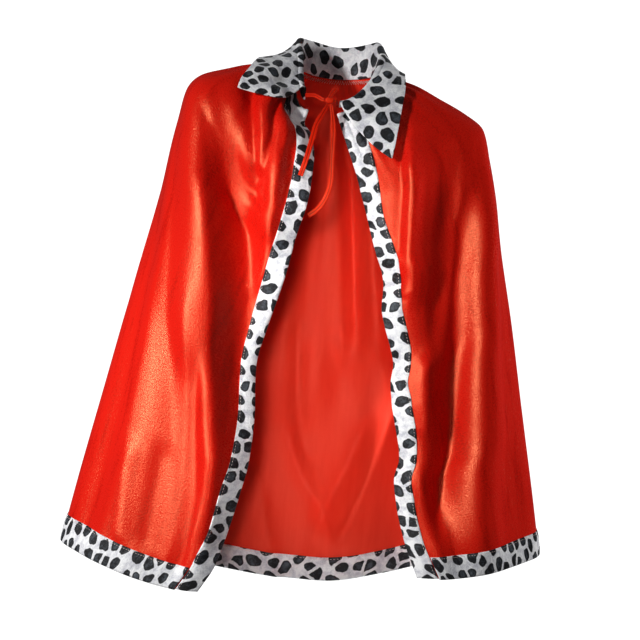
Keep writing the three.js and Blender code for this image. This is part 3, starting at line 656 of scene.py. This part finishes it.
# The ribbon tie: two straps from the collar's ends to a knot, a small loop and two free ends
tieSetup = {
    "wide": 7, "neck": 4, "thick": 1.3, "widens": 0.2, "strap": 5, "strapRise": 6, "loop": 2.6,
    "knot": (1.5, -60, -29.5), "knotSize": (12, 6.4, 8.4), "knotGap": 0.15, "knotFill": 0.97,
    "square": 0.6, "groove": 0.75, "grooveWide": 0.25,
}
knotMiddle = np.array(tieSetup["knot"], float)
knotHalf = np.array(tieSetup["knotSize"]) / 2
knotFoot = -knotHalf[2] - tieSetup["knotGap"]
knotHead = knotHalf[2] + tieSetup["knotGap"]
leftTailRoute = [
    (-2.5, 0, knotFoot), (-2.5, 0, knotFoot - 2), (-7.5, -6, -18), (-15.5, -17, -37),
    (-19.5, -25, -58), (-24.5, -31, -82), (-30.5, -33, -105),
]
rightTailRoute = [
    (2.5, 0, knotFoot), (2.5, 0, knotFoot - 2), (5.5, -1, -20), (8, -4, -44), (8.5, -5, -72),
    (9.5, -6, -98), (8.5, -8, -116), (3, -10, -133), (-6, -11, -146), (-17, -12, -155),
]
loopRoute = [
    (2.6, 0, knotHead), (2.6, 0, knotHead + 1.5), (5.8, 0, 11), (9, 0, 16),
    (7, 0, 18.4), (3, 0, 13), (-0.8, 0, knotHead + 1.5), (-0.8, 0, knotHead),
]


def smoothRoute(route, count):  # a centripetal curve through the route's points, evenly spaced
    points = np.array(route, float)
    padded = np.vstack([2 * points[0] - points[1], points, 2 * points[-1] - points[-2]])
    dense = []
    for a, b, c, d in zip(padded, padded[1:], padded[2:], padded[3:]):
        gapA, gapB, gapC = (math.sqrt(np.linalg.norm(q - p)) for p, q in ((a, b), (b, c), (c, d)))
        startPull = ((b - a) / gapA - (c - a) / (gapA + gapB) + (c - b) / gapB) * gapB
        endPull = ((c - b) / gapB - (d - b) / (gapB + gapC) + (d - c) / gapC) * gapB
        for t in np.linspace(0, 1, 20, endpoint=False):
            dense.append(
                b * (1 + 2 * t) * (1 - t) ** 2 + startPull * t * (1 - t) ** 2
                + c * t * t * (3 - 2 * t) + endPull * t * t * (t - 1)
            )
    dense = np.array(dense + [points[-1]])
    lengths = np.concatenate([[0], np.cumsum(np.linalg.norm(np.diff(dense, axis=0), axis=1))])
    wanted = np.linspace(0, lengths[-1], count)
    return np.stack([np.interp(wanted, lengths, dense[:, k]) for k in range(3)], -1), lengths[-1]


def strapRoute(side, between, rise):
    ends = np.array([4.0, 3.98] if side > 0 else [0.0, 0.02])
    corner, beside = readGrid(smoothCloth, ends, np.zeros(2))
    away = unit((corner - beside) * (1, 1, 0))
    inwards = np.cross([0, 0, 1], away) * -side
    start = corner + inwards * clothSetup["collarSeat"] + away * 0.3 + np.array([0, 0, rise])
    end = side * (knotHalf[0] + tieSetup["knotGap"])
    last = [knotMiddle + (end + side * 2.5, 0, 0.4), knotMiddle + (end, 0, 0.4)]
    return [start, start + away * 1.5, *[knotMiddle + point for point in between], *last]


def ribbonPiece(name, route, startWide, endWide, node, lengthwise=60):
    line, long = smoothRoute(route, lengthwise + 1)
    along = unit(np.gradient(line, axis=0))
    across = unit(np.cross(along, [0, -1, 0]))
    face = np.cross(across, along)

    def shape(s, t):
        i = np.clip(np.round(t * lengthwise).astype(int), 0, lengthwise)
        wide = startWide + (endWide - startWide) * np.clip(t / tieSetup["widens"], 0, 1)
        angle = 2 * math.pi * s
        sideways = signedPower(np.cos(angle), tieSetup["square"])
        groove = 1 - tieSetup["groove"] * np.exp(-((sideways / tieSetup["grooveWide"]) ** 2))
        deep = tieSetup["thick"] / 2 * signedPower(np.sin(angle), 0.8) * groove
        points = line[i] + across[i] * (sideways * wide / 2)[:, None] + face[i] * deep[:, None]
        return points, np.stack([sideways * wide / 2, t * long], -1)

    piece = gridPiece(name, 24, lengthwise, shape, [ribbonSatin], closed=True)
    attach(piece, "root")
    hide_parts(node)
    return piece, line * mm, long * mm


neck, wide, strap, loop = (tieSetup[name] for name in ("neck", "wide", "strap", "loop"))
leftTail, leftLine, leftLong = ribbonPiece(
    "tieTailLeft", knotMiddle + leftTailRoute, neck, wide, "tie_tail_left", 90
)
rightTail, rightLine, rightLong = ribbonPiece(
    "tieTailRight", knotMiddle + rightTailRoute, neck, wide, "tie_tail_right", 120
)
leftStrapRoute = strapRoute(-1, [(-19, 8, 6)], tieSetup["strapRise"])
rightStrapRoute = strapRoute(1, [], tieSetup["strapRise"] / 3)
strapLeft = ribbonPiece("tieStrapLeft", leftStrapRoute, strap, strap, "tie_strap_left")[0]
strapRight = ribbonPiece("tieStrapRight", rightStrapRoute, strap, strap, "tie_strap_right")[0]
tieLoop = ribbonPiece("tieLoop", knotMiddle + loopRoute, loop, loop, "tie_loop")[0]


def knotShape(s, t):
    angle, rise = 2 * math.pi * s, math.pi * (t - 0.5)
    square = tieSetup["square"]
    x = signedPower(np.cos(angle), square) * np.abs(np.cos(rise)) ** square
    y = signedPower(np.sin(angle), square) * np.abs(np.cos(rise)) ** square
    z = signedPower(np.sin(rise), square)
    wraps = 1 + 0.07 * np.sin(7 * x + 3.2 * z + 1)  # the ribbon's turns lie slanting across the knot
    points = knotMiddle + np.stack([x, y * wraps, z * wraps], -1) * knotHalf * tieSetup["knotFill"]
    return points, np.stack([angle * 4, t * 12], -1)


knot = gridPiece("tieKnot", 40, 24, knotShape, [ribbonSatin], closed=True)
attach(knot, "root")
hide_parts("tie_knot")
print("tie made")


# Velvet panels: the back and the two fronts, each a grid read from the surface
panelSetup = {"columnEvery": 3.4, "rows": 190, "long": 720, "seamDip": 1.1, "seamReach": 3.5}


def bandShare(side, downs):
    curve, lengths = (leftEdgeCurve, leftLength) if side == "left" else (rightEdgeCurve, rightLength)
    seen = clothSetup["edgeBand"] * np.cos(np.radians(curve["turn"](downs)))
    return seen / np.interp(downs, downGrid, lengths)


def panel(name, start, end, lengths, node):
    widest = float(lengths.max())

    def shape(s, t):
        rounds = start + (end - start) * s
        around = (s - 0.5) * np.interp(t, downGrid, lengths)
        # the cloth dips where it is sewn along a side seam
        noSeam = np.full(len(s), 9.0)
        fromStart = s if start in (1, 3) else noSeam
        fromEnd = 1 - s if end in (1, 3) else noSeam
        fromSeam = np.minimum(fromStart, fromEnd) * np.interp(t, downGrid, lengths)
        dip = panelSetup["seamDip"] * np.exp(-((fromSeam / panelSetup["seamReach"]) ** 2))
        points = readGrid(cloth, rounds, t) - readGrid(clothNormal, rounds, t) * dip[:, None]
        return points, np.stack([around, -t * panelSetup["long"]], -1)

    piece = gridPiece(
        name, int(widest / panelSetup["columnEvery"]), panelSetup["rows"], shape, [velvet, velvetGround]
    )
    thicken(piece, clothSetup["velvet"], wrongSide=1)
    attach(piece, "root")
    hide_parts(node)
    return piece


backPanel = panel("backPanel", 1, 3, backLength, "back")
frontLeftPanel = panel("frontLeftPanel", 0, 1, leftLength, "front_left")
frontRightPanel = panel("frontRightPanel", 3, 4, rightLength, "front_right")
print("velvet panels made")


# Plush bands: a strip folded round the edge, puffed a little, with its raw edge turned under and stitched
bandSetup = {
    "sit": 1.4, "puff": 0.7, "stitchIn": 2.6, "stitchDip": 0.35, "stitchWide": 1.1, "pucker": 0.35,
    "puckerEvery": 9, "rawEdge": 1.2, "least": 1.05, "edgeLong": 700, "hemWide": 31, "hemLong": 1290,
    "hemGap": 0.006,
}


def bandShape(place, wide, long):
    # place(reach share, along share) reads the surface; wide and long are the band's sizes in mm
    rim = math.pi * bandSetup["sit"]
    total = 2 * wide + rim

    def shape(s, t):
        run = s * total
        over, under = run < wide, run > wide + rim
        reach = np.where(over, wide - run, np.where(under, run - wide - rim, 0)) / wide
        angle = np.clip((run - wide) / rim, 0, 1) * math.pi
        point, normal, towards = place(reach, t)
        inFrom = (1 - reach) * wide
        stitch = np.exp(-(((inFrom - bandSetup["stitchIn"]) / bandSetup["stitchWide"]) ** 2))
        tucked = 1 - np.clip(inFrom / bandSetup["rawEdge"], 0, 1)
        puffed = bandSetup["puff"] * np.sin(math.pi * np.clip(reach, 0, 1)) ** 0.7
        waves = 2 * math.pi * t * long / bandSetup["puckerEvery"] + 3 * np.sin(t * 23)
        pucker = bandSetup["pucker"] * np.sin(waves)
        off = bandSetup["sit"] + puffed * (1 + pucker) - bandSetup["stitchDip"] * (stitch + tucked)
        off = np.maximum(off, bandSetup["least"])
        side = np.cos(angle)[:, None] * normal + np.sin(angle)[:, None] * towards
        return point + side * off[:, None], np.stack([run, t * long], -1)

    return shape


def bandPlace(side):
    edge = 0 if side == "left" else 4
    sign = 1 if side == "left" else -1

    def place(reach, t):
        share = 1 - t if side == "left" else t
        downs = clothSetup["bandStart"] + (1 - clothSetup["bandStart"]) * share
        rounds = edge + sign * reach * bandShare(side, downs)
        point, normal = onSurface(rounds, downs)
        atEdge = np.full(len(rounds), float(edge))
        below = readGrid(cloth, atEdge, np.minimum(downs + 0.004, 1))
        above = readGrid(cloth, atEdge, np.maximum(downs - 0.004, 0))
        towards = readGrid(cloth, atEdge, downs) - readGrid(cloth, atEdge + sign * 0.02, downs)
        towards = squareTo(unit(below - above), squareTo(normal, towards))
        return point, normal, unit(towards)

    return place


def edgeBand(name, side, node):
    shape = bandShape(bandPlace(side), clothSetup["edgeBand"], bandSetup["edgeLong"])
    piece = gridPiece(name, 34, 260, shape, [plush])
    thicken(piece, clothSetup["bandCloth"])
    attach(piece, "root")
    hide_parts(node)
    return piece


edgeBandLeft = edgeBand("edgeBandLeft", "left", "edge_trim_left")
edgeBandRight = edgeBand("edgeBandRight", "right", "edge_trim_right")


def hemPlace(reach, t):
    downs = 1 - clothSetup["hemShare"] * reach
    low = bandShare("left", downs) + bandSetup["hemGap"]
    high = 4 - bandShare("right", downs) - bandSetup["hemGap"]
    rounds = high + (low - high) * t
    point, normal = onSurface(rounds, downs)
    towards = readGrid(cloth, rounds, 1 + 0 * downs) - readGrid(cloth, rounds, 0.99 + 0 * downs)
    return point, normal, unit(squareTo(normal, towards))


hemShape = bandShape(hemPlace, bandSetup["hemWide"], bandSetup["hemLong"])
hemBand = gridPiece("hemBand", 34, 420, hemShape, [plush])
thicken(hemBand, clothSetup["bandCloth"])
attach(hemBand, "root")
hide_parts("hem_trim")
print("plush bands made")


# Collar: stand, roll and fall in one, of two layers of plush turned out at the edge
collarColumns = ("round", "stand", "lean", "edgeRound", "edgeDown", "bow")
collarLine = [
    (0.00, 14, 0, 0.64, 0.120, 1.25),
    (0.35, 15, -3, 0.69, 0.102, 1.1),
    (0.67, 15, -5, 0.74, 0.080, 1),
    (1.00, 21, -4, 0.90, 0.056, 1),
    (1.35, 43, 6, 1.30, 0.042, 1),
    (1.60, 44, 5, 1.62, 0.045, 1),
    (2.00, 41, 3, 2.00, 0.050, 1),
    (2.65, 46, 5, 2.66, 0.042, 1),
    (3.00, 24, 5, 3.06, 0.044, 1),
    (3.40, 8, 5, 3.40, 0.070, 1),
    (3.75, 5, 3, 3.60, 0.102, 0.9),
    (4.00, 4, 0, 3.74, 0.135, 0.8),
]
collarCurve = tableCurves(collarLine, collarColumns)
collarSetup = {"standPart": 0.3, "rollPart": 0.12, "deepest": 0.3}
# creases of the fall: round at the roll, round at the edge, half width and height in mm
collarCreases = [
    (0.10, 0.20, 0.10, 3.2), (0.38, 0.30, 0.13, -2.6), (0.66, 0.46, 0.14, 3.0), (1.00, 0.86, 0.16, -2.4),
    (2.95, 3.05, 0.16, -2.4), (3.30, 3.30, 0.14, 2.8), (3.62, 3.52, 0.11, -2.6), (3.84, 3.78, 0.08, 2.0),
]


def unroll(piece):  # lays the sheet's map out flat with its angles kept, and in the sheet's own size
    bpy.context.view_layer.objects.active = piece
    piece.select_set(True)
    bpy.ops.object.mode_set(mode="EDIT")
    bpy.ops.mesh.select_all(action="SELECT")
    bpy.ops.uv.unwrap(method="CONFORMAL", margin=0)
    bpy.ops.object.mode_set(mode="OBJECT")
    piece.select_set(False)
    layer = piece.data.uv_layers["clothMap"].data
    laidOut = 0
    for face in piece.data.polygons:
        corners = [layer[i].uv for i in face.loop_indices]
        nextCorners = corners[1:] + corners[:1]
        laidOut += abs(sum(p.x * q.y - q.x * p.y for p, q in zip(corners, nextCorners))) / 2
    size = math.sqrt(sum(face.area for face in piece.data.polygons) / laidOut)
    for corner in layer:
        corner.uv = corner.uv * size


def collarShape(s, t):
    rounds = 4 * (1 - s)
    stand, lean, bow = (collarCurve[name](rounds) for name in ("stand", "lean", "bow"))
    edgeRound, edgeDown = collarCurve["edgeRound"](rounds), collarCurve["edgeDown"](rounds)
    radius, seat = clothSetup["rollRadius"], clothSetup["collarSeat"]
    ahead = readGrid(smoothCloth, np.minimum(4, rounds + 0.02), 0 * rounds)
    behind = readGrid(smoothCloth, np.maximum(0, rounds - 0.02), 0 * rounds)
    up = np.array([0.0, 0.0, 1.0])
    out = unit(np.cross(up, ahead - behind))
    neck = readGrid(smoothCloth, rounds, 0 * rounds)
    standShare = np.clip(t / collarSetup["standPart"], 0, 1)
    rollTurn = np.clip((t - collarSetup["standPart"]) / collarSetup["rollPart"], 0, 1) * math.pi
    fallStart = collarSetup["standPart"] + collarSetup["rollPart"]
    share = np.clip((t - fallStart) / (1 - fallStart), 0, 1)
    side = (-seat + lean * standShare**2 + radius * (1 - np.cos(rollTurn)))[:, None]
    rising = (stand * standShare + radius * np.sin(rollTurn))[:, None]
    rolled = neck + out * side + up * rising
    placeRound = rounds + (edgeRound - rounds) * share**0.9
    placeDown = edgeDown * share**bow
    normal = unit(readGrid(smoothNormal, placeRound, placeDown))
    fallen = (
        readGrid(smoothCloth, placeRound, placeDown)
        + normal * (clothSetup["fallLift"] * share**0.7)[:, None]
        + up * (stand * (1 - share) ** 1.25)[:, None]
        + out * ((2 * radius + lean - seat) * (1 - share))[:, None]
    )
    lift = sum(
        high * np.exp(-(((rounds - (atRoll + (atEdge - atRoll) * share)) / wide) ** 2))
        for atRoll, atEdge, wide, high in collarCreases
    )
    lift = np.maximum(lift, -clothSetup["fallLift"] * collarSetup["deepest"]) * np.sin(math.pi * share**0.7)
    fallen = fallen + normal * lift[:, None]
    points = np.where((t > fallStart)[:, None], fallen, rolled)
    return points, np.stack([s, t], -1)


collar = gridPiece("collarPiece", 150, 64, collarShape, [plush])
unroll(collar)
thicken(collar, clothSetup["collarCloth"])
smoothCollar = collar.modifiers.new("softEdge", "SUBSURF")
smoothCollar.levels = smoothCollar.render_levels = 1
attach(collar, "root")
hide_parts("collar")
print("collar made")


# Thread: the rows of stitching that hold the bands, and the overlocked edges at the neck
threadSetup = {
    "thick": 0.55, "sunk": 0.75, "leftLong": 687, "rightLong": 647, "hemLong": 1190,
    "stitch": 4.2,  # stitches are 3 mm, drawn at 4.2 mm
    "overlockPitch": 3.2, "neckLong": 168, "neckWide": 0.009, "neckLift": 1.7,
    "frayed": 8, "frayedAt": 0.972, "frayedLong": 30, "frayedLift": 2.8,
}


def threadPiece(name, line, thick):
    along = unit(np.gradient(line, axis=0))
    across = unit(np.cross(along, [0.3, -1.0, 0.2]))
    face = np.cross(across, along)
    count = len(line) - 1

    def shape(s, t):
        i = np.clip(np.round(t * count).astype(int), 0, count)
        angle = 2 * math.pi * s
        ring = np.cos(angle)[:, None] * across[i] + np.sin(angle)[:, None] * face[i]
        return line[i] + ring * thick / 2, np.stack([s * 2, t * count], -1)

    piece = gridPiece(name, 5, count, shape, [overlockThread], closed=True)
    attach(piece, "root")


def stitchRow(name, place, wide, long, side, start=0.0, end=1.0):
    # the thread comes up over the band and goes down through it, once for each stitch of five points
    count = int(long * (end - start) / threadSetup["stitch"]) * 5
    reach = np.full(count, 1 - bandSetup["stitchIn"] / wide)
    point, normal = place(reach, np.linspace(start, end, count))[:2]
    puffed = bandSetup["puff"] * math.sin(math.pi * reach[0]) ** 0.7
    lift = bandSetup["sit"] + puffed - bandSetup["stitchDip"] + clothSetup["bandCloth"] / 2
    wave = np.cos(np.arange(count) * 2 * math.pi / 5)
    height = lift + np.where(wave > -0.2, threadSetup["thick"] * 0.35, -threadSetup["sunk"])
    threadPiece(name, point + normal * (side * height)[:, None], threadSetup["thick"])


def overlock(name, place, start, end, long):  # a zigzag of thread between place(0, t) and place(1, t)
    count = int(long / threadSetup["overlockPitch"] * 2)
    t = np.linspace(start, end, count)
    line = place(np.where(np.arange(count) % 2 == 0, 0.0, 1.0), t)
    threadPiece(name, line, threadSetup["thick"] * 1.5)


def neckSeam(share, t):  # inside the back of the neck, where the collar meets the velvet
    point = readGrid(cloth, t, 0.002 + share * threadSetup["neckWide"])
    return point - readGrid(clothNormal, t, np.full(len(t), 0.004)) * threadSetup["neckLift"]


overlock("neckOverlock", neckSeam, 1.02, 2.98, threadSetup["neckLong"])
leftPlace, rightPlace = bandPlace("left"), bandPlace("right")


def frayedEnd(share, t):  # the raw end of the left band, under the collar, where the overlock is loose
    point, normal = leftPlace(1.1 - 1.3 * t, np.full(len(t), threadSetup["frayedAt"]))[:2]
    stray = share * threadSetup["frayed"] * (0.5 + 0.5 * np.sin(41 * t + 2))
    lift = threadSetup["frayedLift"] * (1 + 0.5 * np.sin(29 * t))
    down = np.array([0.15, -0.3, -0.94])
    return point + normal * lift[:, None] + down * stray[:, None]


overlock("frayedOverlock", frayedEnd, 0.0, 1.0, threadSetup["frayedLong"])
# each row: the band it is on, its length, the side it shows on, and where along the band it starts and ends
edgeWide, hemWide = clothSetup["edgeBand"], bandSetup["hemWide"]
leftLong, rightLong, hemLong = (threadSetup[name] for name in ("leftLong", "rightLong", "hemLong"))
for row in (
    ("stitchesLeftOut", leftPlace, edgeWide, leftLong, 1, 0.0, 0.9),
    ("stitchesRightOut", rightPlace, edgeWide, rightLong, 1, 0.1, 1.0),
    ("stitchesLeftIn", leftPlace, edgeWide, leftLong, -1),
    ("stitchesRightIn", rightPlace, edgeWide, rightLong, -1),
    ("stitchesHemOut", hemPlace, hemWide, hemLong, 1),
    ("stitchesHemIn", hemPlace, hemWide, hemLong, -1),
):
    stitchRow(*row)
print("thread sewn")


# Floor, backdrop and light
stageSetup = {"floor": -2.4, "floorRadius": 2.1, "pale": "#f4f4f4", "floorGlow": 0.3, "air": 0.06}
palePaper, tree, shader = newMaterial("palePaper")
# the paper glows a little, as if lit from below, so that it looks pale without a lamp over the cape
setInputs(tree, shader, {
    "Base Color": colour(stageSetup["pale"]),
    "Roughness": 0.9,
    "Emission Color": (1, 1, 1, 1),
    "Emission Strength": stageSetup["floorGlow"],
})
mesh = bpy.data.meshes.new("studioFloor")
bm = bmesh.new()
bmesh.ops.create_circle(bm, cap_ends=True, segments=96, radius=stageSetup["floorRadius"])
bmesh.ops.translate(bm, vec=(0, 0, stageSetup["floor"]), verts=bm.verts)
bm.to_mesh(mesh)
bm.free()
mesh.materials.append(palePaper)
floor = bpy.data.objects.new("studioFloor", mesh)
bpy.context.scene.collection.objects.link(floor)

# the surroundings show as white paper and give only a little light of their own
world = bpy.data.worlds.new("studioAir")
world.use_nodes = True
tree = world.node_tree
seen = addNode(tree, "ShaderNodeLightPath").outputs["Is Camera Ray"]
level = rescaled(tree, seen, 0, 1, stageSetup["air"], 1)
setInputs(tree, tree.nodes["Background"], {"Color": (1, 1, 1, 1), "Strength": level})
bpy.context.scene.world = world

# The key stands well to the left, so that the folds show, and the grid is a narrow strip for the inside of
# the back. Each lamp: its place and what it is aimed at, its size in metres, watts, and spread in degrees
lights = {
    "key": ((-2.25, -2.0, 0.35), (-0.26, 0.0, -0.38), (0.3, 0.3), 3.6, 36),
    "front": ((-0.6, -2.9, 0.3), (0.0, 0.0, -0.35), (1.4, 1.4), 0.35, 70),
    "side": ((2.6, 0.5, 0.25), (0.1, 0.0, -0.35), (0.8, 0.8), 4.6, 50),
    "back": ((0.9, 3.0, 0.6), (0.0, 0.0, -0.3), (1.4, 1.4), 7.0, 60),
    "grid": ((-0.1, -1.3, -0.3), (0.03, 0.08, -0.4), (0.18, 0.6), 0.24, 14),
}
for name, (place, aim, size, power, spread) in lights.items():
    data = bpy.data.lights.new(name, "AREA")
    data.shape = "RECTANGLE"
    data.size, data.size_y = size
    data.energy = power
    data.spread = math.radians(spread)
    lamp = bpy.data.objects.new(name, data)
    lamp.location = place
    lamp.rotation_euler = (Vector(aim) - Vector(place)).to_track_quat("-Z", "Y").to_euler()
    lamp.visible_glossy = name in ("key", "grid")  # the others fill, and leave no shine on the folds
    bpy.context.scene.collection.objects.link(lamp)
bpy.context.scene.view_settings.view_transform = "Standard"
bpy.context.scene.view_settings.look = "Medium High Contrast"
print("studio lit")
